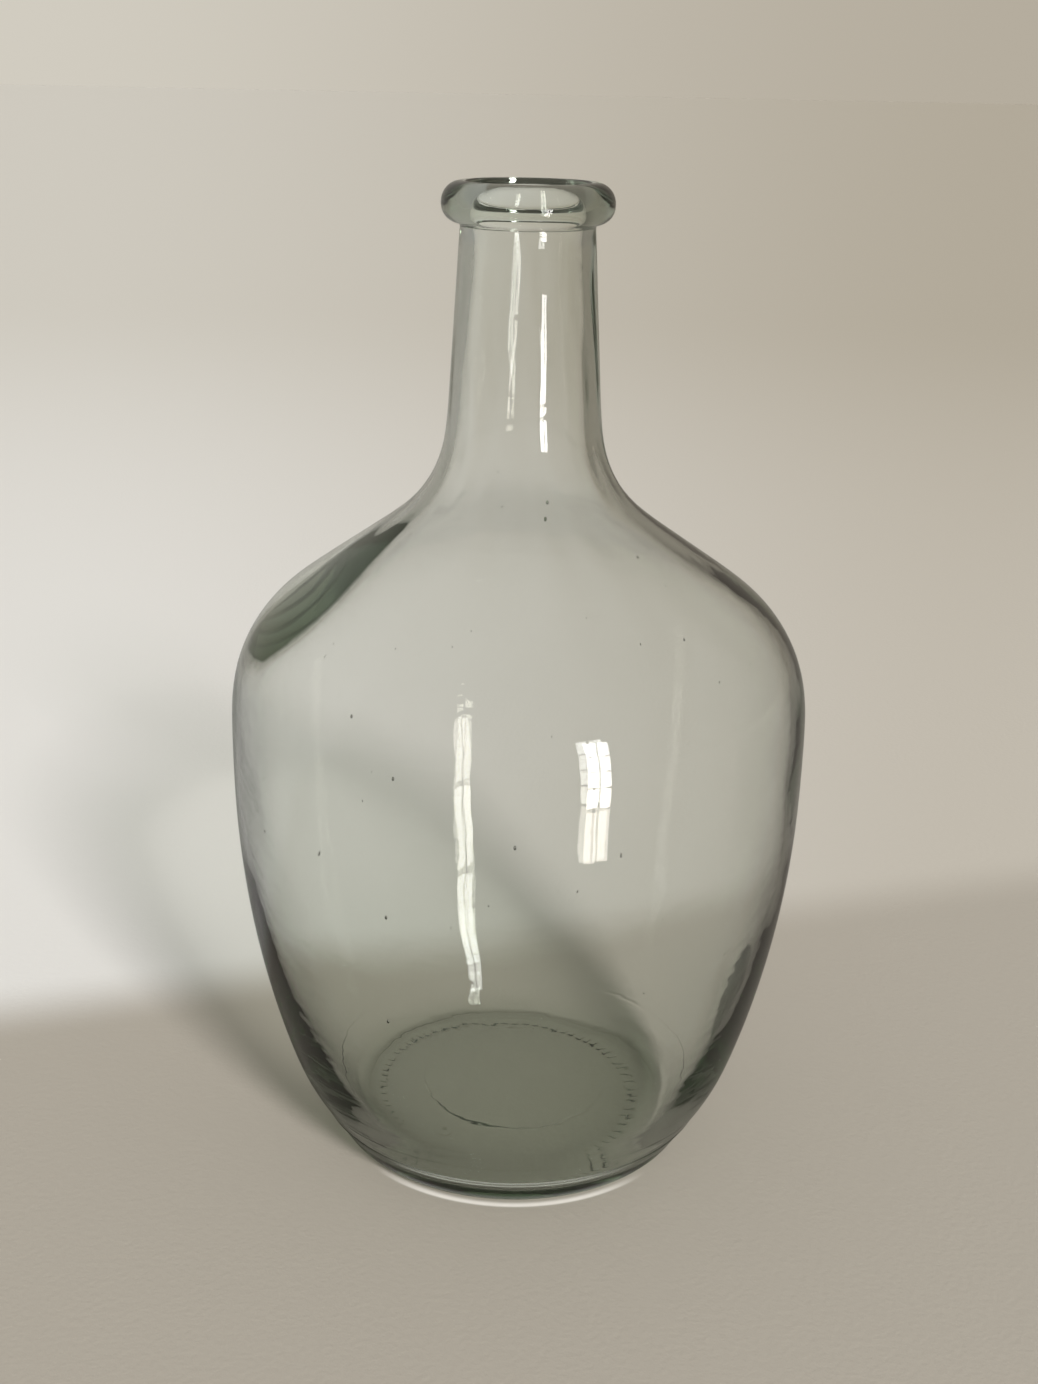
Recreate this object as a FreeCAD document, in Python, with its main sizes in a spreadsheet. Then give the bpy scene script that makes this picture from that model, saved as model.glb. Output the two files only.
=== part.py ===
"""Glass demijohn (a small carboy) of about five litres, moulded in one piece, with an open rolled mouth.

The row frame is in millimetres: +Z is up along the bottle's axis, and the origin is at the middle of its base,
in the plane it stands on. The bottle is one piece of glass, so the document holds one PartDesign body: the
outside is a revolved profile, and the inside, from the mouth to the floor, is a revolved groove cut out of it.
"""

import FreeCAD, Part
import os

import Sketcher

# Driving dimensions: millimetres, and degrees for the slopes.
SIZES = {
    "overall_height": 335.0,
    # underside and foot
    "push_up": 2.3,  # height of the shallow dome under the base
    "bearing_inner": 46.5,  # the ring that the bottle stands on
    "bearing_outer": 58.0,
    "foot_corner": 8.0,
    "heel_slope": 59.0,  # of the cone above the foot, from level
    "heel_radius": 40.0,
    # body
    "side_radius": 350.0,
    "body_radius": 98.5,
    "belt_low": 144.0,  # the widest, upright stretch of the side
    "belt_high": 162.4,
    "shoulder_radius": 49.8,
    "shoulder_slope": 145.5,  # of the cone up to the neck, turned from the outward level
    "neck_root": 38.6,
    "neck_slope": 93.4,
    "neck_radius": 21.6,  # outside, right under the lip
    # rolled lip
    "bead_radius": 6.5,
    "bead_centre": 21.2,
    # inside
    "mouth_rounding": 2.5,
    "bore_radius": 17.25,
    "bore_length": 26.0,  # the straight part that takes a bung
    "neck_inside_slope": 275.0,  # of the neck's inside below the bore, turned from the outward level
    "neck_wall": 3.6,
    "side_wall": 3.2,
    "heel_inside": 35.5,
    "floor_height": 8.5,
    "floor_dome": 477.0,  # radius of the floor's slight dome
}

START, END, CENTRE = 1, 2, 3  # a sketch curve's points
LEVEL_AXIS, UP_AXIS = -1, -2  # a sketch's own axes

document = FreeCAD.newDocument("Demijohn")


def make_sheet():
    sheet = document.addObject("Spreadsheet::Sheet", "Sizes")
    for row, (alias, value) in enumerate(SIZES.items(), start=1):
        cell = "B%d" % row
        sheet.set("A%d" % row, alias)
        sheet.set(cell, str(value))
        sheet.setAlias(cell, alias)
    document.recompute()
    return sheet


class Outline:
    """A sketch of half the bottle's section, on the body's XZ plane, drawn as a chain of lines and arcs.

    The coordinates given here are first positions; the constraints and the sheet's sizes place the curves.
    """

    def __init__(self, body, name):
        self.sketch = body.newObject("Sketcher::SketchObject", name)
        plane = [f for f in body.Origin.OriginFeatures if f.Role == "XZ_Plane"][0]
        self.sketch.AttachmentSupport = (plane, [""])
        self.sketch.MapMode = "FlatFace"

    def line(self, start, end):
        ends = [FreeCAD.Vector(x, y, 0) for x, y in (start, end)]
        return self.sketch.addGeometry(Part.LineSegment(*ends), False)

    def arc(self, centre, radius, from_degrees, to_degrees):
        circle = Part.Circle(FreeCAD.Vector(*centre, 0), FreeCAD.Vector(0, 0, 1), radius)
        turn = [FreeCAD.Units.Quantity(a, FreeCAD.Units.Angle).getValueAs("rad").Value
                for a in (from_degrees, to_degrees)]
        return self.sketch.addGeometry(Part.ArcOfCircle(circle, *turn), False)

    def rule(self, kind, *args):
        return self.sketch.addConstraint(Sketcher.Constraint(kind, *args))

    def size(self, name, formula, kind, *args):
        """A dimension that takes its value from the sheet."""
        index = self.rule(kind, *args)
        self.sketch.renameConstraint(index, name)
        self.sketch.setExpression("Constraints." + name, formula)


def draw_outside(body):
    """The outside, from the middle of the underside out, up the side and over the lip to the axis."""
    o = Outline(body, "OutsideProfile")
    dome = o.arc((0, -459), 461.2, 84.3, 90)
    bearing = o.line((46, 0), (57.7, 0))
    foot = o.arc((57.7, 8), 8, -90, -31)
    heel_cone = o.line((64.6, 3.9), (75.1, 21.5))
    heel = o.arc((40.8, 42.1), 40, -31, -19)
    side = o.arc((-243.8, 140), 341, -19, 0)
    belt = o.line((97.2, 140), (97.2, 160))
    shoulder = o.arc((48.2, 160), 49, 0, 55.5)
    shoulder_cone = o.line((76, 200.4), (41.5, 224.1))
    neck_root = o.arc((63, 255.4), 38, 183.4, 235.5)
    neck = o.line((25.1, 253.1), (21.3, 317.2))
    bead = o.arc((20.9, 323.6), 6.4, -86.4, 90)
    top = o.line((20.9, 330), (0, 330))
    axis = o.line((0, 330), (0, 2.3))

    o.rule("Coincident", dome, START, bearing, START)
    o.rule("Coincident", neck, END, bead, START)
    o.rule("Coincident", top, END, axis, START)
    o.rule("Coincident", axis, END, dome, END)
    smooth_joins = (
        (bearing, END, foot, START),
        (foot, END, heel_cone, START),
        (heel_cone, END, heel, START),
        (heel, END, side, START),
        (side, END, belt, START),
        (belt, END, shoulder, START),
        (shoulder, END, shoulder_cone, START),
        (shoulder_cone, END, neck_root, END),
        (neck_root, START, neck, START),
        (bead, END, top, START),
    )
    for join in smooth_joins:
        o.rule("Tangent", *join)
    o.rule("PointOnObject", dome, CENTRE, UP_AXIS)
    o.rule("PointOnObject", dome, END, UP_AXIS)
    o.rule("PointOnObject", bearing, START, LEVEL_AXIS)
    o.rule("Horizontal", bearing)
    o.rule("Vertical", belt)
    o.rule("Horizontal", top)
    o.rule("PointOnObject", top, END, UP_AXIS)

    o.size("push_up", "Sizes.push_up", "DistanceY", dome, END, 2.3)
    o.size("bearing_inner", "Sizes.bearing_inner", "DistanceX", bearing, START, 46)
    o.size("bearing_outer", "Sizes.bearing_outer", "DistanceX", bearing, END, 57.7)
    o.size("foot_corner", "Sizes.foot_corner", "Radius", foot, 8)
    o.size("heel_slope", "Sizes.heel_slope * 1 deg", "Angle", heel_cone, 1.03)
    o.size("heel_radius", "Sizes.heel_radius", "Radius", heel, 40)
    o.size("side_radius", "Sizes.side_radius", "Radius", side, 341)
    o.size("body_radius", "Sizes.body_radius", "DistanceX", belt, START, 97.2)
    o.size("belt_low", "Sizes.belt_low", "DistanceY", belt, START, 140)
    o.size("belt_high", "Sizes.belt_high", "DistanceY", belt, END, 160)
    o.size("shoulder_radius", "Sizes.shoulder_radius", "Radius", shoulder, 49)
    o.size("shoulder_slope", "Sizes.shoulder_slope * 1 deg", "Angle", shoulder_cone, 2.54)
    o.size("neck_root", "Sizes.neck_root", "Radius", neck_root, 38)
    o.size("neck_slope", "Sizes.neck_slope * 1 deg", "Angle", neck, 1.63)
    o.size("neck_radius", "Sizes.neck_radius", "DistanceX", neck, END, 21.3)
    o.size("bead_radius", "Sizes.bead_radius", "Radius", bead, 6.4)
    o.size("bead_centre", "Sizes.bead_centre", "DistanceX", bead, CENTRE, 20.9)
    o.size("overall_height", "Sizes.overall_height", "DistanceY", top, START, 330)
    return o.sketch


def draw_inside(body):
    """The space inside: the rounded mouth, the bore, and the hollow down to the floor."""
    o = Outline(body, "InsideProfile")
    mouth = o.line((0, 330), (19.5, 330))
    rounding = o.arc((19.5, 327.5), 2.5, 90, 180)
    bore = o.line((17, 327.5), (17, 302))
    neck = o.line((17, 302), (21.4, 252))
    neck_root = o.arc((63, 255.4), 41.6, 185, 235.5)
    shoulder_cone = o.line((39.4, 221.1), (74.1, 197.7))
    shoulder = o.arc((48.2, 160), 45.8, 0, 55.5)
    belt = o.line((94, 160), (94, 140))
    side = o.arc((-243.8, 140), 337.8, -18.5, 0)
    heel = o.arc((42.2, 41), 35, -95, -18.5)
    floor = o.arc((0, -461.5), 470, 85.3, 90)
    axis = o.line((0, 8.5), (0, 330))

    o.rule("Coincident", rounding, START, mouth, END)
    o.rule("Coincident", bore, END, neck, START)
    o.rule("Coincident", floor, END, axis, START)
    o.rule("Coincident", axis, END, mouth, START)
    smooth_joins = (
        (rounding, END, bore, START),
        (neck, END, neck_root, START),
        (neck_root, END, shoulder_cone, START),
        (shoulder_cone, END, shoulder, END),
        (shoulder, START, belt, START),
        (belt, END, side, END),
        (side, START, heel, END),
        (heel, START, floor, START),
    )
    for join in smooth_joins:
        o.rule("Tangent", *join)
    o.rule("Horizontal", mouth)
    o.rule("PointOnObject", mouth, START, UP_AXIS)
    o.rule("Vertical", rounding, CENTRE, rounding, START)
    o.rule("Vertical", bore)
    o.rule("Vertical", belt)
    o.rule("PointOnObject", floor, CENTRE, UP_AXIS)
    o.rule("PointOnObject", floor, END, UP_AXIS)

    o.size("overall_height", "Sizes.overall_height", "DistanceY", mouth, START, 330)
    o.size("mouth_rounding", "Sizes.mouth_rounding", "Radius", rounding, 2.5)
    o.size("bore_radius", "Sizes.bore_radius", "DistanceX", bore, START, 17)
    o.size("bore_length", "Sizes.bore_length", "DistanceY", bore, END, bore, START, 25.5)
    o.size("neck_slope", "Sizes.neck_inside_slope * 1 deg", "Angle", neck, 4.8)
    o.size("neck_root", "Sizes.neck_root + Sizes.neck_wall", "Radius", neck_root, 41.6)
    o.size("shoulder_slope", "Sizes.shoulder_slope * 1 deg - 180 deg", "Angle", shoulder_cone, -0.6)
    o.size("shoulder_radius", "Sizes.shoulder_radius - Sizes.side_wall", "Radius", shoulder, 45.8)
    o.size("body_radius", "Sizes.body_radius - Sizes.side_wall", "DistanceX", belt, START, 94)
    o.size("belt_high", "Sizes.belt_high", "DistanceY", belt, START, 160)
    o.size("belt_low", "Sizes.belt_low", "DistanceY", belt, END, 140)
    o.size("side_radius", "Sizes.side_radius - Sizes.side_wall", "Radius", side, 337.8)
    o.size("heel_inside", "Sizes.heel_inside", "Radius", heel, 35)
    o.size("floor_dome", "Sizes.floor_dome", "Radius", floor, 470)
    o.size("floor_height", "Sizes.floor_height", "DistanceY", floor, END, 8.5)
    return o.sketch


def make_bottle():
    """The bottle: blown glass in one piece, with a punted base and a rolled lip."""
    body = document.addObject("PartDesign::Body", "Bottle")
    body.Label = "bottle"

    outside = draw_outside(body)
    document.recompute()
    blank = body.newObject("PartDesign::Revolution", "Blank")
    blank.Profile = outside
    blank.ReferenceAxis = (outside, ["V_Axis"])
    blank.Angle = 360
    document.recompute()
    full = blank.Shape.Volume

    inside = draw_inside(body)
    document.recompute()
    hollow = body.newObject("PartDesign::Groove", "Hollow")
    hollow.Profile = inside
    hollow.ReferenceAxis = (inside, ["V_Axis"])
    hollow.Angle = 360
    document.recompute()
    body.Tip = hollow

    if body.Shape.Volume > full - 1:
        raise RuntimeError("the hollow cut nothing")
    for sketch in (outside, inside):
        print(sketch.Name, "fully constrained:", sketch.FullyConstrained)
    print("glass %.0f cm3, outside %.0f cm3" % (body.Shape.Volume / 1000, full / 1000))
    return body


def check(bodies):
    failed = [o.Name for o in document.Objects if {"Invalid", "Error"} & set(o.State)]
    failed += [b.Label for b in bodies if b.Shape.isNull() or not b.Shape.isValid()]
    if failed:
        raise RuntimeError("these are not sound: " + ", ".join(failed))


make_sheet()
bodies = [make_bottle()]
check(bodies)
os.makedirs("parts", exist_ok=True)
for body in bodies:
    body.Shape.exportStep("parts/%s.step" % body.Label)
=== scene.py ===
"""A five litre glass demijohn: one piece of blown glass with a stippled foot and a rolled, open mouth.

It takes the place of the plain packed bottle, with a wall of true, slightly uneven thickness. Metres, +Z up.
"""

import bpy
import numpy as np
from mathutils import Matrix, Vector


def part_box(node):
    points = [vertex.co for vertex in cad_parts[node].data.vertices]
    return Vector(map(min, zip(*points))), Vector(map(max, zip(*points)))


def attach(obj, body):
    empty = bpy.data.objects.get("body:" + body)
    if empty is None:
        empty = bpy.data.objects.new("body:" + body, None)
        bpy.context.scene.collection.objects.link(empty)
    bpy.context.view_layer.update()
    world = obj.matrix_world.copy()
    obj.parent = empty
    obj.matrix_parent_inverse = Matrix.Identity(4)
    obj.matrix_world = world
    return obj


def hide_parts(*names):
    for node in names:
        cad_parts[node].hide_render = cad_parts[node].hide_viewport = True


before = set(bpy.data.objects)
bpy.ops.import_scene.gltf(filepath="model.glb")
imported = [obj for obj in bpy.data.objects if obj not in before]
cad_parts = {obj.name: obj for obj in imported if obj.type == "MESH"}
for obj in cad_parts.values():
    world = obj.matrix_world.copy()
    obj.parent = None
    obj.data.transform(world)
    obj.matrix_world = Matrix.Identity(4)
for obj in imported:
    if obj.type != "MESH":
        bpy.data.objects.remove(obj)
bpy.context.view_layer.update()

# ---- The bottle ------------------------------------------------------------------------------------------
# One piece of clear glass with a faint green cast, blown in a two-part mould on a base plate. The outside
# takes the mould's form and the inside settles by itself, so the wall is thick at the foot and lip and uneven
# elsewhere. Nothing is fixed to it: it stands on the stipples round its foot, open at the mouth.

_, high_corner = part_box("bottle")
bottle_height = high_corner.z
body_radius = high_corner.x
SIDE_THICKNESS = 0.0036
inner_radius = body_radius - SIDE_THICKNESS
AROUND = 288  # steps round the bottle

# The corners of the skin. Each is its radius and height, the radius it is rounded with, the steps on that
# arc, and the steps on the straight that follows.
SKIN = (
    (0.0566, 0.0004, 0.0000, 0, 1),  # edge of the underside
    (0.0621, -0.0001, 0.0080, 9, 3),  # round of the foot
    (0.0692, 0.0115, 0.0000, 0, 10),  # under the base plate's seam
    (0.0714, 0.0150, 0.0000, 0, 6),  # over the seam
    (0.0779, 0.0255, 0.0400, 8, 0),  # heel
    (body_radius, 0.0851, 0.3450, 26, 5),  # long curve of the side
    (body_radius, 0.1886, 0.0498, 18, 8),  # shoulder
    (0.0266, 0.2380, 0.0386, 16, 16),  # root of the neck
    (0.0216, bottle_height - 0.0130, 0.0012, 3, 2),  # crease under the lip
    (0.0277, bottle_height - 0.0122, 0.0058, 9, 1),  # lower round of the lip
    (0.0277, bottle_height, 0.0064, 10, 2),  # upper round of the lip
    (0.0196, bottle_height, 0.0017, 6, 7),  # edge of the mouth
    (0.0172, 0.3180, 0.0500, 5, 12),  # bore, below the flare of the mouth
    (0.0234, 0.2363, 0.0422, 14, 6),  # inside of the neck's root
    (inner_radius, 0.1869, 0.0466, 14, 5),  # inside of the shoulder
    (inner_radius, 0.0856, 0.2750, 24, 1),  # inside of the side
    (0.0716, 0.0285, 0.0450, 8, 4),  # inside of the heel
    (0.0586, 0.0056, 0.0120, 8, 2),  # inside of the foot
    (0.0440, 0.0066, 0.0000, 0, 0),  # edge of the floor
)
OUTER_ROWS_PAST_CROWN = 4  # rows on the lip's top that still belong to the outside

PUSH_UP = 0.0023
PUSH_UP_RADIUS = 0.0465
FLOOR_HEIGHT = 0.0085
FLOOR_DISH = 1.02  # radius squared over this is how far the floor falls
FLOOR_EDGE_HEIGHT = 0.0095  # inside rows below this belong to the floor
EASE_LENGTH = 0.006

SEAM_HEIGHT = 0.0132
SECOND_SEAM_HEIGHT = 0.0148
SEAM_WIDTH = 0.0004
STIPPLES = 72
STIPPLE_HEIGHT = 0.00042
PLATE_RADIUS = 0.0553
PLUNGER_RADIUS = 0.0356
PLUNGER_STEP = 0.00060

SEEDS = 110
SEED_DEPTH = 0.0017
SEED_LENGTH = 1.7  # a seed's height over its width


def ramp(value, start, end):
    """Runs evenly from 0 at start to 1 at end, and is flat beyond them."""
    return np.clip((value - start) / (end - start), 0, 1)


def bell(distance, width):
    """1 at no distance, falling as e to the minus square of distance over width."""
    return np.exp(-((distance / width) ** 2))


def follow(corners):
    """Points along a chain of corners, each cut by the arc that touches both its sides. The arc starts before
    the corner by its radius times the tangent of half the turn, and its centre lies one radius to the side."""
    points = [np.array([corners[0][:2]])]
    last = np.array(corners[0][:2])
    straight_steps = corners[0][4]
    for here, after in zip(corners[1:], corners[2:] + (None,)):
        corner, radius = np.array(here[:2]), here[2]
        if after is None or radius == 0:
            arc = corner[None]
        else:
            into = (corner - last) / np.linalg.norm(corner - last)
            out = np.array(after[:2]) - corner
            out /= np.linalg.norm(out)
            turn = np.arccos(np.clip(into @ out, -1, 1))
            side = np.sign(into[0] * out[1] - into[1] * out[0])
            start = corner - into * radius * np.tan(turn / 2)
            centre = start + side * radius * np.array([-into[1], into[0]])
            first_angle = np.arctan2(-side * into[0], side * into[1])
            angle = first_angle + side * np.linspace(0, turn, here[3] + 1)
            arc = centre + radius * np.stack([np.cos(angle), np.sin(angle)], 1)
        share = np.linspace(0, 1, straight_steps + 2)[1:-1, None]
        points += [points[-1][-1] * (1 - share) + arc[0] * share, arc]
        last, straight_steps = corner, here[4]
    return np.concatenate(points)


def outward(profile):
    """Unit normals of a profile: the step from each point's last neighbour to its next, turned right."""
    steps = np.gradient(profile, axis=0)
    normal = np.stack([steps[:, 1], -steps[:, 0]], 1)
    return normal / np.linalg.norm(normal, axis=1)[:, None]


def ease(profile):
    """The profile with its changes of curvature eased, as slow glass does. On the side and neck each point
    moves to the mean of the curve about it, weighted by e to the minus half the square of distance over
    EASE_LENGTH. Foot and lip stay sharp."""
    spacing = 0.0005
    reach = 36
    along = np.concatenate([[0], np.cumsum(np.linalg.norm(np.diff(profile, axis=0), axis=1))])
    fine = np.arange(0, along[-1], spacing)
    weight = np.exp(-((np.arange(-reach, reach + 1) * spacing / EASE_LENGTH) ** 2) / 2)
    weight /= weight.sum()
    eased = np.empty_like(profile)
    for axis in (0, 1):
        even = np.interp(fine, along, profile[:, axis])
        mean = np.convolve(np.pad(even, reach, "edge"), weight, "valid")
        eased[:, axis] = np.interp(along, fine, mean)
    share = ramp(profile[:, 1], 0.012, 0.024) * ramp(profile[:, 1], 0.318, 0.302)
    return profile + (share * share * (3 - 2 * share))[:, None] * (eased - profile)


def half_section():
    """Half the section of the skin, from the middle of the underside round to the middle of the floor. The
    underside rises by PUSH_UP times 1 less the square of radius over PUSH_UP_RADIUS, and the floor falls by
    the square of radius over FLOOR_DISH. Rows lie close where the marks are. Also gives how many rows the
    underside has, and the last row of the outside."""
    underside = np.concatenate([
        np.linspace(0.004, 0.032, 5),
        np.linspace(0.0340, 0.0420, 13),
        [0.0440, 0.0460, 0.0466, 0.0472, 0.0480, 0.0490, 0.0498, 0.0504, 0.0510],
        [0.0530, 0.0545, 0.0550, 0.0553, 0.0556, 0.0561],
    ])
    rise = PUSH_UP * np.clip(1 - (underside / PUSH_UP_RADIUS) ** 2, 0, 1)
    under = np.stack([underside, rise + STIPPLE_HEIGHT], 1)
    skin = follow(SKIN)
    floor_rows = np.concatenate([
        [0.0400, 0.0370, 0.0362, 0.0359, 0.0356, 0.0353, 0.0350, 0.0342],
        np.linspace(0.0320, 0.004, 5),
    ])
    floor = np.stack([floor_rows, FLOOR_HEIGHT - floor_rows**2 / FLOOR_DISH], 1)
    crown = len(under) + np.argmax(skin[:, 1] > bottle_height - 0.0001)
    return ease(np.concatenate([under, skin, floor])), len(under), crown + OUTER_ROWS_PAST_CROWN


def swells(angle, height, rng, slowest, fastest, count):
    """Slow swells of a glass wall, about 1 high: a sum of cosines of turns times angle plus pitch times
    height plus a phase, each over its turns, all over the root of the sum of those weights squared."""
    swell = np.zeros(np.broadcast(angle, height).shape)
    for turns in np.linspace(slowest, fastest, count):
        pitch = rng.uniform(-1, 1) * turns / 0.09
        swell += np.cos(np.round(turns) * angle + pitch * height + rng.uniform(0, 6.28)) / turns
    return swell / np.sqrt(np.sum(np.linspace(slowest, fastest, count) ** -2.0))


def ran_thick(angle, height, side, middle, spread, reach):
    """A place where the glass ran thick, 1 at its middle: a bell of the angle from side, which is in degrees,
    times a bell of the height from middle."""
    turned = np.mod(angle - np.radians(side) + np.pi, 2 * np.pi) - np.pi
    return bell(turned, spread) * bell(height - middle, reach)


def base_marks(angle, radius):
    """The base plate's marks: stipples, bars that point to the middle, as a cosine of STIPPLES times angle
    between two ramps of radius; a bell for the ring of the plate's edge; and a blister, a small round ring,
    as a bell of the distance from its own circle."""
    stippled = ramp(radius, 0.0464, 0.0472) * ramp(radius, 0.0508, 0.0500)
    bar = 0.5 + 0.5 * np.cos(STIPPLES * angle)
    plate = bell(radius - PLATE_RADIUS, 0.0003)
    from_blister = np.hypot(radius * np.cos(angle) + 0.0222, radius * np.sin(angle) + 0.0300)
    blister = bell(from_blister - 0.0020, 0.0007)
    return STIPPLE_HEIGHT * stippled * bar + 0.000045 * plate + 0.00035 * blister


def plunger_mark(angle, radius):
    """The step left in the floor by the first mould's plunger, deepest at the front left: PLUNGER_STEP over 1
    plus e to the distance past PLUNGER_RADIUS, times a cosine of the angle."""
    step = 1 / (1 + np.exp((radius - PLUNGER_RADIUS) / 0.00018))
    return PLUNGER_STEP * step * (0.65 + 0.35 * np.cos(angle - np.radians(215)))


def bottle_wall():
    """The whole skin as one closed grid: the half section turned about the axis, with each point moved along
    its normal by the swells, thick places, seams and marks there. Gives points, quads, and the triangles that
    close both poles."""
    rng = np.random.default_rng(7)
    profile, base_rows, last_outer_row = half_section()
    normal = outward(profile)
    angle = np.linspace(0, 2 * np.pi, AROUND, endpoint=False)[None]
    radius, height = profile[:, :1], profile[:, 1:]
    row = np.arange(len(profile))[:, None]
    inside = row > last_outer_row
    on_base = row < base_rows
    on_floor = inside & (height < FLOOR_EDGE_HEIGHT)

    free = ramp(height, 0.012, 0.042) * ramp(height, bottle_height - 0.012, bottle_height - 0.032)
    outer_swell = 0.00006 * swells(angle, height, rng, 2, 9, 8)
    outer_swell = outer_swell + 0.00002 * swells(angle, height, rng, 9, 24, 10)
    inner_swell = 0.00040 * swells(angle, height, rng, 1, 6, 6)
    inner_swell = inner_swell + 0.00007 * swells(angle, height, rng, 6, 22, 12)
    left_of_shoulder = 0.0050 * ran_thick(angle, height, 184, 0.201, 0.36, 0.015)
    low_on_right = 0.0030 * ran_thick(angle, height, -4, 0.052, 0.20, 0.014)
    move = free * np.where(inside, inner_swell + left_of_shoulder + low_on_right, outer_swell)

    seam = 0.00026 * bell(height - SEAM_HEIGHT, SEAM_WIDTH)
    seam = seam + 0.00008 * bell(height - SECOND_SEAM_HEIGHT, SEAM_WIDTH)
    move = move + np.where(inside, 0, seam)
    move = move + np.where(on_base, base_marks(angle, radius), 0)
    move = move + np.where(on_floor, plunger_mark(angle, radius), 0)

    # neither the plate's marks nor the plunger's are quite on the axis
    fade = ramp(radius, 0.0580, 0.0480)
    slide_x = fade * (np.where(on_floor, 0.0026, 0) - np.where(on_base, 0.0022, 0))
    slide_y = fade * np.where(on_floor, 0.0030, 0)
    radius = radius + move * normal[:, :1]
    height = np.maximum(height + move * normal[:, 1:], 0)
    points = np.stack([radius * np.cos(angle) + slide_x, radius * np.sin(angle) + slide_y, height], -1)

    rows = len(profile)
    j = np.arange(AROUND)
    k = (j + 1) % AROUND
    start = np.arange(rows - 1)[:, None] * AROUND
    quads = np.stack([start + j, start + k, start + k + AROUND, start + j + AROUND], -1).reshape(-1, 4)
    poles = np.stack([points[0].mean(axis=0), points[-1].mean(axis=0)])
    first_pole, last_pole = rows * AROUND, rows * AROUND + 1
    last_start = (rows - 1) * AROUND
    fans = np.concatenate([
        np.stack([0 * j + first_pole, k, j], 1),
        np.stack([last_start + j, last_start + k, 0 * j + last_pole], 1),
    ])
    return np.concatenate([points.reshape(-1, 3), poles]), quads, fans


def seeds(first_point):
    """Seeds, which are tiny bubbles in the middle of the wall: tall ellipsoids of eight meridians and four
    rings, centred SEED_DEPTH under the outside, and turned inside out because they are voids."""
    rng = np.random.default_rng(11)
    outer = follow(SKIN[:8])
    middle = outer - SEED_DEPTH * outward(outer)
    middle = middle[middle[:, 1] > 0.035]
    spot = middle[rng.integers(0, len(middle), SEEDS)] + rng.uniform(-0.0004, 0.0004, (SEEDS, 2))
    angle = rng.uniform(0, 2 * np.pi, SEEDS)
    centre = np.stack([spot[:, 0] * np.cos(angle), spot[:, 0] * np.sin(angle), spot[:, 1]], 1)
    size = 0.00012 + 0.00038 * rng.random(SEEDS) ** 3

    latitude = np.radians([-54, -18, 18, 54])[:, None]
    longitude = np.radians(np.arange(0, 360, 45))[None]
    x = np.cos(latitude) * np.cos(longitude)
    y = np.cos(latitude) * np.sin(longitude)
    z = SEED_LENGTH * np.sin(latitude) + 0 * longitude
    ball = np.stack([x, y, z], -1).reshape(-1, 3)
    ball = np.concatenate([ball, [[0, 0, -SEED_LENGTH], [0, 0, SEED_LENGTH]]])
    points = centre[:, None] + size[:, None, None] * ball[None]

    j = np.arange(8)
    k = (j + 1) % 8
    ring = (8 * np.arange(3))[:, None]
    sides = np.stack([ring + j, ring + j + 8, ring + k + 8, ring + k], -1).reshape(-1, 4)
    bottom_pole, top_pole = 32, 33
    caps = np.concatenate([
        np.stack([j, k, 0 * j + bottom_pole], 1),
        np.stack([24 + k, 24 + j, 0 * j + top_pole], 1),
    ])
    shift = first_point + len(ball) * np.arange(SEEDS)[:, None, None]
    return points.reshape(-1, 3), (sides[None] + shift).reshape(-1, 4), (caps[None] + shift).reshape(-1, 3)


wall_points, wall_quads, wall_fans = bottle_wall()
seed_points, seed_sides, seed_caps = seeds(len(wall_points))
bottle_points = wall_points.tolist() + seed_points.tolist()
bottle_faces = wall_quads.tolist() + wall_fans.tolist() + seed_sides.tolist() + seed_caps.tolist()
mesh = bpy.data.meshes.new("bottle_glass")
mesh.from_pydata(bottle_points, [], bottle_faces)
mesh.polygons.foreach_set("use_smooth", np.ones(len(mesh.polygons), bool))
mesh.update()
bottle = bpy.data.objects.new("bottle_glass", mesh)
bpy.context.scene.collection.objects.link(bottle)

GLASS_IOR = 1.51
GREEN_CAST = (0.38, 0.56, 0.38, 1)
GREEN_DENSITY = 22.0
RIPPLE_DEPTH = 0.000022

glass = bpy.data.materials.new("bottle_glass")
glass.use_nodes = True
nodes, links = glass.node_tree.nodes, glass.node_tree.links
nodes.clear()

output = nodes.new("ShaderNodeOutputMaterial")
output.label = "finished glass"
surface = nodes.new("ShaderNodeBsdfPrincipled")
surface.label = "clear glass"
tint = nodes.new("ShaderNodeVolumeAbsorption")
tint.label = "faint green in the glass"
place = nodes.new("ShaderNodeTexCoord")
place.label = "place on the bottle"
stretch = nodes.new("ShaderNodeMapping")
stretch.label = "ripples lie flatter than they are tall"
ripple = nodes.new("ShaderNodeTexNoise")
ripple.label = "ripple of the cold mould"
press = nodes.new("ShaderNodeBump")
press.label = "ripple depth"
edge_on = nodes.new("ShaderNodeLayerWeight")
edge_on.label = "how edge-on the light meets the wall"
steep = nodes.new("ShaderNodeMath")
steep.label = "only near the outline"
veil = nodes.new("ShaderNodeMix")
veil.label = "light let through"
shade = nodes.new("ShaderNodeBsdfTransparent")
shade.label = "film that lamps shine through"
rays = nodes.new("ShaderNodeLightPath")
rays.label = "light on its way from a lamp"
pick = nodes.new("ShaderNodeMixShader")
pick.label = "glass, or its soft shadow"

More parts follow.
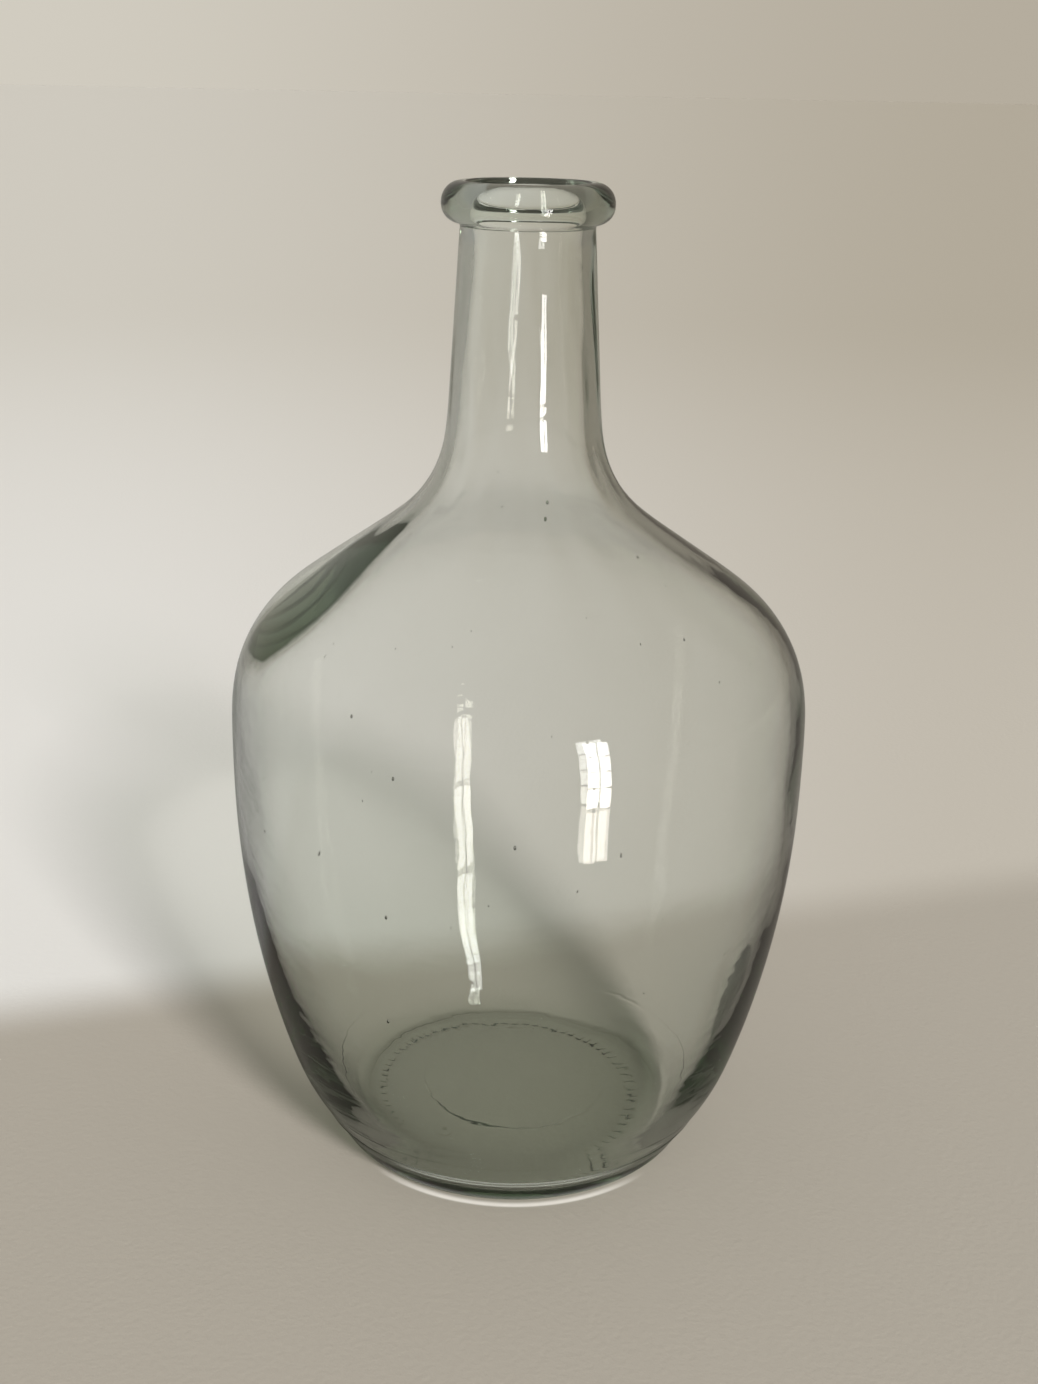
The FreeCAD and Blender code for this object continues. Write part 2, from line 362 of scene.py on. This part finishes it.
ripple_frame = nodes.new("NodeFrame")
ripple_frame.label = "cold mould ripple"
glass_frame = nodes.new("NodeFrame")
glass_frame.label = "clear, faintly green glass"
shadow_frame = nodes.new("NodeFrame")
shadow_frame.label = "soft shadow, darker at its edge"
for node, group, spot in (
    (output, None, (800, 100)),
    (pick, None, (550, 100)),
    (place, ripple_frame, (-800, 0)),
    (stretch, ripple_frame, (-600, 0)),
    (ripple, ripple_frame, (-400, 0)),
    (press, ripple_frame, (-200, 0)),
    (surface, glass_frame, (50, 0)),
    (tint, glass_frame, (50, -450)),
    (edge_on, shadow_frame, (-600, 400)),
    (steep, shadow_frame, (-400, 400)),
    (veil, shadow_frame, (-200, 400)),
    (shade, shadow_frame, (50, 400)),
    (rays, shadow_frame, (50, 800)),
):
    node.parent = group
    node.location = spot

surface.inputs["Base Color"].default_value = (1, 1, 1, 1)
surface.inputs["Roughness"].default_value = 0.0
surface.inputs["IOR"].default_value = GLASS_IOR
surface.inputs["Transmission Weight"].default_value = 1.0
tint.inputs["Color"].default_value = GREEN_CAST
tint.inputs["Density"].default_value = GREEN_DENSITY
stretch.inputs["Scale"].default_value = (1.0, 1.0, 1.9)
ripple.inputs["Scale"].default_value = 130.0
ripple.inputs["Detail"].default_value = 1.0
ripple.inputs["Roughness"].default_value = 0.4
press.inputs["Strength"].default_value = 1.0
press.inputs["Distance"].default_value = RIPPLE_DEPTH
edge_on.inputs["Blend"].default_value = 0.5
steep.operation = "POWER"
steep.inputs[1].default_value = 2.6
veil.data_type = "RGBA"
veil.inputs["A"].default_value = (0.98, 0.98, 0.975, 1)
veil.inputs["B"].default_value = (0.30, 0.30, 0.29, 1)

links.new(place.outputs["Object"], stretch.inputs["Vector"])
links.new(stretch.outputs["Vector"], ripple.inputs["Vector"])
links.new(ripple.outputs["Fac"], press.inputs["Height"])
links.new(press.outputs["Normal"], surface.inputs["Normal"])
links.new(edge_on.outputs["Facing"], steep.inputs[0])
links.new(steep.outputs["Value"], veil.inputs["Factor"])
links.new(veil.outputs["Result"], shade.inputs["Color"])
links.new(rays.outputs["Is Shadow Ray"], pick.inputs["Fac"])
links.new(surface.outputs["BSDF"], pick.inputs[1])
links.new(shade.outputs["BSDF"], pick.inputs[2])
links.new(pick.outputs["Shader"], output.inputs["Surface"])
links.new(tint.outputs["Volume"], output.inputs["Volume"])

mesh.materials.append(glass)
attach(bottle, "root")
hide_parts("bottle")

# ---- The floor -------------------------------------------------------------------------------------------
# A pale matt table that runs back into a paler backdrop without a join, as one flat plane. Its tones are
# painted, with painted light among them: the backdrop is painted lighter on the left and duller far off,
# the floor is painted darker where the glass mirrors it, and a painted glint glows in front of the foot
# for the light that the foot gathers.

FLOOR_HALF = 40.0
TABLE_COLOUR = (0.46, 0.43, 0.38, 1)
# painted light: the backdrop's colour is lighter on the left and darker on the right
LIT_BACKDROP_LEFT = (0.81, 0.81, 0.80, 1)
SHADED_BACKDROP_RIGHT = (0.575, 0.545, 0.49, 1)
# painted haze: the backdrop's colour is made duller and warmer far off
FAR_HAZE = (0.82, 0.80, 0.755, 1)
STAND_BACK = 0.58  # how far before the bottle's axis the table's distances are counted from
DIMMING = 0.7  # share of the dimming after one reflection

h = FLOOR_HALF
floor_mesh = bpy.data.meshes.new("floor")
floor_mesh.from_pydata([(-h, -h, 0), (h, -h, 0), (h, h, 0), (-h, h, 0)], [], [(0, 1, 2, 3)])
floor = bpy.data.objects.new("floor", floor_mesh)
bpy.context.scene.collection.objects.link(floor)

paper = bpy.data.materials.new("floor")
paper.use_nodes = True
nodes, links = paper.node_tree.nodes, paper.node_tree.links
nodes.clear()

output = nodes.new("ShaderNodeOutputMaterial")
output.label = "finished floor"
paint = nodes.new("ShaderNodeBsdfPrincipled")
paint.label = "matt paper"
place = nodes.new("ShaderNodeTexCoord")
place.label = "place on the floor"
plain = nodes.new("ShaderNodeSeparateXYZ")
plain.label = "square to the table"
reach = nodes.new("ShaderNodeMath")
reach.label = "distance from the front"
turn = nodes.new("ShaderNodeMapping")
turn.label = "the backdrop lies askew"
split = nodes.new("ShaderNodeSeparateXYZ")
split.label = "square to the backdrop"
depth = nodes.new("ShaderNodeMapRange")
depth.label = "front to back"
tone = nodes.new("ShaderNodeMix")
tone.label = "table to backdrop"
# Painted light: the backdrop is painted lighter on the left, fanning out to darker on the right.
ahead = nodes.new("ShaderNodeMath")
ahead.label = "kept above nothing"
fan = nodes.new("ShaderNodeMath")
fan.label = "fan from left to right"
across = nodes.new("ShaderNodeMapRange")
across.label = "left to right"
wall = nodes.new("ShaderNodeMix")
wall.label = "backdrop"
# Painted haze: far off, the backdrop's colour is made duller and warmer, so that it meets the room at the
# horizon.
away = nodes.new("ShaderNodeMapRange")
away.label = "near to far"
haze = nodes.new("ShaderNodeMix")
haze.label = "duller and warmer far off"
faded = nodes.new("ShaderNodeMix")
faded.label = "backdrop, faded with distance"
# Painted shade: where the glass mirrors it, the floor's colour is darkened, most near the front, standing in
# for the dim side of the room.
dull = nodes.new("ShaderNodeMapRange")
dull.label = "how dim, near and far"
dimmed = nodes.new("ShaderNodeVectorMath")
dimmed.label = "dimmed floor"
rays = nodes.new("ShaderNodeLightPath")
rays.label = "reflections so far"
mirrored = nodes.new("ShaderNodeMath")
mirrored.label = "more so after each reflection"
dim = nodes.new("ShaderNodeMix")
dim.label = "dim side of the room"
# Painted glint: a thin ring of the floor in front of the foot glows, painted in for the light the foot
# gathers.
ring = nodes.new("ShaderNodeVectorMath")
ring.label = "distance from the bottle's axis"
edge_in = nodes.new("ShaderNodeMapRange")
edge_in.label = "inner edge of the glint"
edge_out = nodes.new("ShaderNodeMapRange")
edge_out.label = "outer edge of the glint"
front = nodes.new("ShaderNodeMapRange")
front.label = "only at the front"
band = nodes.new("ShaderNodeMath")
band.label = "between the two edges"
glint = nodes.new("ShaderNodeMath")
glint.label = "light gathered by the foot"
painted_glow = nodes.new("ShaderNodeMath")
painted_glow.label = "its strength"
grain = nodes.new("ShaderNodeTexNoise")
grain.label = "fine grain"
tooth = nodes.new("ShaderNodeBump")
tooth.label = "grain depth"

place_frame = nodes.new("NodeFrame")
place_frame.label = "where on the floor"
join_frame = nodes.new("NodeFrame")
join_frame.label = "table running into backdrop"
backdrop_light_frame = nodes.new("NodeFrame")
backdrop_light_frame.label = "backdrop, paler on the left"
far_frame = nodes.new("NodeFrame")
far_frame.label = "haze far off"
dim_frame = nodes.new("NodeFrame")
dim_frame.label = "dimmer in reflections"
painted_glint_frame = nodes.new("NodeFrame")
painted_glint_frame.label = "glint in front of the foot"
grain_frame = nodes.new("NodeFrame")
grain_frame.label = "paper's grain"
for node, group, spot in (
    (output, None, (900, 0)),
    (paint, None, (600, 0)),
    (place, place_frame, (-1900, 0)),
    (plain, place_frame, (-1700, -200)),
    (reach, place_frame, (-1500, -300)),
    (turn, join_frame, (-1300, 300)),
    (split, join_frame, (-1100, 300)),
    (depth, join_frame, (-900, 300)),
    (tone, join_frame, (-150, 100)),
    (ahead, backdrop_light_frame, (-1300, -150)),
    (fan, backdrop_light_frame, (-1100, -150)),
    (across, backdrop_light_frame, (-900, -100)),
    (wall, backdrop_light_frame, (-650, -100)),
    (away, far_frame, (-900, -450)),
    (haze, far_frame, (-650, -450)),
    (faded, far_frame, (-400, -300)),
    (dull, dim_frame, (-650, 650)),
    (dimmed, dim_frame, (50, 500)),
    (rays, dim_frame, (-150, 900)),
    (mirrored, dim_frame, (50, 800)),
    (dim, dim_frame, (300, 400)),
    (ring, painted_glint_frame, (-1300, -900)),
    (edge_in, painted_glint_frame, (-1050, -800)),
    (edge_out, painted_glint_frame, (-1050, -1100)),
    (front, painted_glint_frame, (-1050, -1400)),
    (band, painted_glint_frame, (-800, -900)),
    (glint, painted_glint_frame, (-600, -1000)),
    (painted_glow, painted_glint_frame, (-400, -1000)),
    (grain, grain_frame, (50, -500)),
    (tooth, grain_frame, (300, -500)),
):
    node.parent = group
    node.location = spot

paint.inputs["Roughness"].default_value = 0.8
paint.inputs["Specular IOR Level"].default_value = 0.0
# colour of the painted glint that glows in front of the foot
paint.inputs["Emission Color"].default_value = (1.0, 0.98, 0.94, 1)
reach.operation = "ADD"
reach.inputs[1].default_value = STAND_BACK
turn.inputs["Rotation"].default_value = (0, 0, np.radians(-18))
depth.interpolation_type = "SMOOTHSTEP"
depth.inputs["From Min"].default_value = 0.098
depth.inputs["From Max"].default_value = 0.150
tone.data_type = "RGBA"
tone.inputs["A"].default_value = TABLE_COLOUR
# painted light on the backdrop, lighter on the left
ahead.operation = "MAXIMUM"
ahead.inputs[1].default_value = 0.05
fan.operation = "DIVIDE"
across.interpolation_type = "SMOOTHSTEP"
across.inputs["From Min"].default_value = -0.30
across.inputs["From Max"].default_value = 0.30
wall.data_type = "RGBA"
wall.inputs["A"].default_value = LIT_BACKDROP_LEFT
wall.inputs["B"].default_value = SHADED_BACKDROP_RIGHT
away.interpolation_type = "SMOOTHSTEP"
away.inputs["From Min"].default_value = 0.7
away.inputs["From Max"].default_value = 3.0
haze.data_type = "RGBA"
haze.inputs["A"].default_value = (1, 1, 1, 1)
haze.inputs["B"].default_value = FAR_HAZE
faded.data_type = "RGBA"
faded.blend_type = "MULTIPLY"
faded.inputs["Factor"].default_value = 1.0
# painted shade of the floor in reflections, darker near the front
dull.interpolation_type = "SMOOTHSTEP"
dull.inputs["From Min"].default_value = 0.9
dull.inputs["From Max"].default_value = 2.6
dull.inputs["To Min"].default_value = 0.20
dull.inputs["To Max"].default_value = 0.42
dimmed.operation = "SCALE"
mirrored.operation = "MULTIPLY"
mirrored.use_clamp = True
mirrored.inputs[1].default_value = DIMMING
dim.data_type = "RGBA"
ring.operation = "LENGTH"
# painted glint: its ring, its edges and its front
edge_in.interpolation_type = "SMOOTHSTEP"
edge_in.inputs["From Min"].default_value = 0.0610
edge_in.inputs["From Max"].default_value = 0.0632
edge_out.interpolation_type = "SMOOTHSTEP"
edge_out.inputs["From Min"].default_value = 0.0648
edge_out.inputs["From Max"].default_value = 0.0636
front.interpolation_type = "SMOOTHSTEP"
front.inputs["From Min"].default_value = -0.040
front.inputs["From Max"].default_value = -0.060
band.operation = "MULTIPLY"
glint.operation = "MULTIPLY"
painted_glow.operation = "MULTIPLY"
painted_glow.inputs[1].default_value = 0.40
grain.inputs["Scale"].default_value = 420.0
grain.inputs["Detail"].default_value = 2.0
tooth.inputs["Strength"].default_value = 0.35
tooth.inputs["Distance"].default_value = 0.0004

links.new(place.outputs["Object"], plain.inputs["Vector"])
links.new(plain.outputs["Y"], reach.inputs[0])
links.new(place.outputs["Object"], turn.inputs["Vector"])
links.new(turn.outputs["Vector"], split.inputs["Vector"])
links.new(split.outputs["Y"], depth.inputs["Value"])
links.new(depth.outputs["Result"], tone.inputs["Factor"])
links.new(reach.outputs["Value"], ahead.inputs[0])
links.new(plain.outputs["X"], fan.inputs[0])
links.new(ahead.outputs["Value"], fan.inputs[1])
links.new(fan.outputs["Value"], across.inputs["Value"])
links.new(across.outputs["Result"], wall.inputs["Factor"])
links.new(reach.outputs["Value"], away.inputs["Value"])
links.new(away.outputs["Result"], haze.inputs["Factor"])
links.new(wall.outputs["Result"], faded.inputs["A"])
links.new(haze.outputs["Result"], faded.inputs["B"])
links.new(faded.outputs["Result"], tone.inputs["B"])
links.new(reach.outputs["Value"], dull.inputs["Value"])
links.new(tone.outputs["Result"], dimmed.inputs[0])
links.new(dull.outputs["Result"], dimmed.inputs["Scale"])
# painted shade: the floor's colour is darker after each reflection
links.new(rays.outputs["Glossy Depth"], mirrored.inputs[0])
links.new(mirrored.outputs["Value"], dim.inputs["Factor"])
links.new(tone.outputs["Result"], dim.inputs["A"])
links.new(dimmed.outputs["Vector"], dim.inputs["B"])
links.new(dim.outputs["Result"], paint.inputs["Base Color"])
# painted glint: the glowing ring in front of the foot
links.new(place.outputs["Object"], ring.inputs[0])
links.new(ring.outputs["Value"], edge_in.inputs["Value"])
links.new(ring.outputs["Value"], edge_out.inputs["Value"])
links.new(plain.outputs["Y"], front.inputs["Value"])
links.new(edge_in.outputs["Result"], band.inputs[0])
links.new(edge_out.outputs["Result"], band.inputs[1])
links.new(band.outputs["Value"], glint.inputs[0])
links.new(front.outputs["Result"], glint.inputs[1])
links.new(glint.outputs["Value"], painted_glow.inputs[0])
links.new(painted_glow.outputs["Value"], paint.inputs["Emission Strength"])
links.new(place.outputs["Object"], grain.inputs["Vector"])
links.new(grain.outputs["Fac"], tooth.inputs["Height"])
links.new(tooth.outputs["Normal"], paint.inputs["Normal"])
links.new(paint.outputs["BSDF"], output.inputs["Surface"])

floor_mesh.materials.append(paper)

# ---- The room --------------------------------------------------------------------------------------------
# A pale wall behind, paler on the left, and a duller room in front. The camera and the glass see them, dimmer
# by reflection than straight through. The floor doesn't: it is lit by an even sky.

WALL_LEFT = (0.64, 0.605, 0.53, 1)
WALL_RIGHT = (0.46, 0.415, 0.34, 1)
DAYLIGHT = (1.0, 0.97, 0.92)

world = bpy.data.worlds.new("room")
world.use_nodes = True
nodes, links = world.node_tree.nodes, world.node_tree.links
nodes.clear()

output = nodes.new("ShaderNodeOutputWorld")
output.label = "finished room"
way = nodes.new("ShaderNodeTexCoord")
way.label = "way that is looked"
turn = nodes.new("ShaderNodeMapping")
turn.label = "the wall runs round to the left"
split = nodes.new("ShaderNodeSeparateXYZ")
split.label = "square to the wall"
across = nodes.new("ShaderNodeMapRange")
across.label = "left to right"
wall = nodes.new("ShaderNodeMix")
wall.label = "wall"
depth = nodes.new("ShaderNodeMapRange")
depth.label = "dim room to pale wall"
mirrored = nodes.new("ShaderNodeMapRange")
mirrored.label = "the same, when seen by reflection"
rays = nodes.new("ShaderNodeLightPath")
rays.label = "reflections so far, and what looks"
again = nodes.new("ShaderNodeMath")
again.label = "more so after each reflection"
dim = nodes.new("ShaderNodeMix")
dim.label = "direct or reflected"
room = nodes.new("ShaderNodeBackground")
room.label = "the room that is seen"
sky = nodes.new("ShaderNodeBackground")
sky.label = "the sky that lights the floor"
clear = nodes.new("ShaderNodeMath")
clear.label = "camera or reflection"
seen = nodes.new("ShaderNodeMath")
seen.label = "or through the glass"
pick = nodes.new("ShaderNodeMixShader")
pick.label = "sky for the floor, room for the rest"

wall_frame = nodes.new("NodeFrame")
wall_frame.label = "wall, paler on the left"
bright_frame = nodes.new("NodeFrame")
bright_frame.label = "how bright, direct and reflected"
look_frame = nodes.new("NodeFrame")
look_frame.label = "what sees the room"
light_frame = nodes.new("NodeFrame")
light_frame.label = "light on the floor"
for node, group, spot in (
    (output, None, (750, 100)),
    (pick, None, (500, 100)),
    (room, None, (200, -100)),
    (way, wall_frame, (-1300, 200)),
    (turn, wall_frame, (-1100, 200)),
    (split, wall_frame, (-900, 200)),
    (across, wall_frame, (-650, 200)),
    (wall, wall_frame, (-400, 200)),
    (depth, bright_frame, (-650, -200)),
    (mirrored, bright_frame, (-650, -500)),
    (again, bright_frame, (-400, -50)),
    (dim, bright_frame, (-150, -200)),
    (rays, look_frame, (-650, 800)),
    (clear, look_frame, (-400, 700)),
    (seen, look_frame, (-150, 700)),
    (sky, light_frame, (200, 350)),
):
    node.parent = group
    node.location = spot

turn.inputs["Rotation"].default_value = (0, 0, np.radians(-28))
across.interpolation_type = "SMOOTHSTEP"
across.inputs["From Min"].default_value = 0.19
across.inputs["From Max"].default_value = 0.70
wall.data_type = "RGBA"
wall.inputs["A"].default_value = WALL_LEFT
wall.inputs["B"].default_value = WALL_RIGHT
depth.interpolation_type = "SMOOTHSTEP"
depth.inputs["From Min"].default_value = -0.30
depth.inputs["From Max"].default_value = 0.50
depth.inputs["To Min"].default_value = 0.80
depth.inputs["To Max"].default_value = 1.0
mirrored.interpolation_type = "SMOOTHSTEP"
mirrored.inputs["From Min"].default_value = -0.30
mirrored.inputs["From Max"].default_value = 0.50
mirrored.inputs["To Min"].default_value = 0.10
mirrored.inputs["To Max"].default_value = 0.42
again.operation = "MULTIPLY"
again.use_clamp = True
again.inputs[1].default_value = DIMMING
sky.inputs["Color"].default_value = (*DAYLIGHT, 1)
sky.inputs["Strength"].default_value = 0.42
clear.operation = "MAXIMUM"
seen.operation = "MAXIMUM"

links.new(way.outputs["Generated"], turn.inputs["Vector"])
links.new(turn.outputs["Vector"], split.inputs["Vector"])
links.new(split.outputs["X"], across.inputs["Value"])
links.new(across.outputs["Result"], wall.inputs["Factor"])
links.new(wall.outputs["Result"], room.inputs["Color"])
links.new(split.outputs["Y"], depth.inputs["Value"])
links.new(split.outputs["Y"], mirrored.inputs["Value"])
links.new(rays.outputs["Glossy Depth"], again.inputs[0])
links.new(again.outputs["Value"], dim.inputs["Factor"])
links.new(depth.outputs["Result"], dim.inputs["A"])
links.new(mirrored.outputs["Result"], dim.inputs["B"])
links.new(dim.outputs["Result"], room.inputs["Strength"])
links.new(rays.outputs["Is Camera Ray"], clear.inputs[0])
links.new(rays.outputs["Is Glossy Ray"], clear.inputs[1])
links.new(clear.outputs["Value"], seen.inputs[0])
links.new(rays.outputs["Is Transmission Ray"], seen.inputs[1])
links.new(seen.outputs["Value"], pick.inputs["Fac"])
links.new(sky.outputs["Background"], pick.inputs[1])
links.new(room.outputs["Background"], pick.inputs[2])
links.new(pick.outputs["Shader"], output.inputs["Surface"])
bpy.context.scene.world = world

# ---- The window ------------------------------------------------------------------------------------------
# Ten flat lamps in two columns stand for the panes of a window at the front right. They are seen only as
# their image in the glass, warmer and fainter at the bottom, and light nothing else.

PANE_WIDTH, PANE_HEIGHT = 0.026, 0.056
WINDOW_PLACE = (0.164, -0.362, 0.030)  # middle of the lowest left pane
COLUMN_STEP = (0.028, 0.014)
PANE_STEP = 0.061
WINDOW_TURN = np.radians(26.6)

for column in range(2):
    for pane in range(5):
        light = bpy.data.lights.new(f"pane_{column}_{pane}", "AREA")
        light.shape = "RECTANGLE"
        light.size, light.size_y = PANE_WIDTH, PANE_HEIGHT
        light.energy = 0.075 if pane else 0.035
        light.color = (1.0, 0.94 + 0.012 * pane, 0.86 + 0.030 * pane)
        light.use_nodes = True
        nodes, links = light.node_tree.nodes, light.node_tree.links
        nodes.clear()

        output = nodes.new("ShaderNodeOutputLight")
        output.label = "finished pane"
        shine = nodes.new("ShaderNodeEmission")
        shine.label = "daylight through the pane"
        rays = nodes.new("ShaderNodeLightPath")
        rays.label = "reflections so far"
        mirrored = nodes.new("ShaderNodeMath")
        mirrored.label = "only in reflections"
        image_frame = nodes.new("NodeFrame")
        image_frame.label = "seen only as an image in the glass"
        for node, group, spot in (
            (output, None, (250, 300)),
            (shine, None, (50, 300)),
            (rays, image_frame, (-400, 300)),
            (mirrored, image_frame, (-200, 300)),
        ):
            node.parent = group
            node.location = spot
        mirrored.operation = "GREATER_THAN"
        mirrored.inputs[1].default_value = 0.5
        links.new(rays.outputs["Glossy Depth"], mirrored.inputs[0])
        links.new(mirrored.outputs["Value"], shine.inputs["Strength"])
        links.new(shine.outputs["Emission"], output.inputs["Surface"])

        pane_lamp = bpy.data.objects.new(light.name, light)
        pane_lamp.location = (
            WINDOW_PLACE[0] + COLUMN_STEP[0] * column,
            WINDOW_PLACE[1] + COLUMN_STEP[1] * column,
            WINDOW_PLACE[2] + PANE_STEP * pane,
        )
        pane_lamp.rotation_euler = (np.radians(90), 0, WINDOW_TURN)
        pane_lamp.visible_camera = False
        pane_lamp.visible_diffuse = False
        bpy.context.scene.collection.objects.link(pane_lamp)

# ---- The daylight ----------------------------------------------------------------------------------------
# Soft, slightly warm light from the front right and above, which lights the floor and throws the bottle's
# shadow back to the left. It is wide enough to blur the shadow, and isn't seen in the glass.

light = bpy.data.lights.new("daylight", "SUN")
light.angle = np.radians(11)
light.energy = 3.25
light.color = DAYLIGHT
daylight = bpy.data.objects.new("daylight", light)
daylight.rotation_euler = (np.radians(60), 0, np.radians(26))
daylight.visible_camera = False
daylight.visible_glossy = False
daylight.visible_transmission = False
bpy.context.scene.collection.objects.link(daylight)

# ---- The camera ------------------------------------------------------------------------------------------
# A normal lens in front of the bottle and a little above it, looking down and rolled by about a degree. Light
# may bounce in the glass many times before it is dropped.

CAMERA_PLACE = (0, -0.580, 0.366)
LOOKING_DOWN = 19.15
ROLL = 1.10
GLASS_BOUNCES = 40

camera_data = bpy.data.cameras.new("camera")
camera_data.sensor_width = 36.0
camera_data.lens = 46.08
camera = bpy.data.objects.new("camera", camera_data)
tilt = np.radians(90 - LOOKING_DOWN)
roll = np.radians(ROLL)
camera.matrix_world = (
    Matrix.Translation(CAMERA_PLACE) @ Matrix.Rotation(tilt, 4, "X") @ Matrix.Rotation(roll, 4, "Z")
)
bpy.context.scene.collection.objects.link(camera)
bpy.context.scene.camera = camera
bpy.context.scene.view_settings.view_transform = "Standard"
bpy.context.scene.cycles.max_bounces = GLASS_BOUNCES
bpy.context.scene.cycles.transmission_bounces = GLASS_BOUNCES
bpy.context.scene.cycles.glossy_bounces = GLASS_BOUNCES
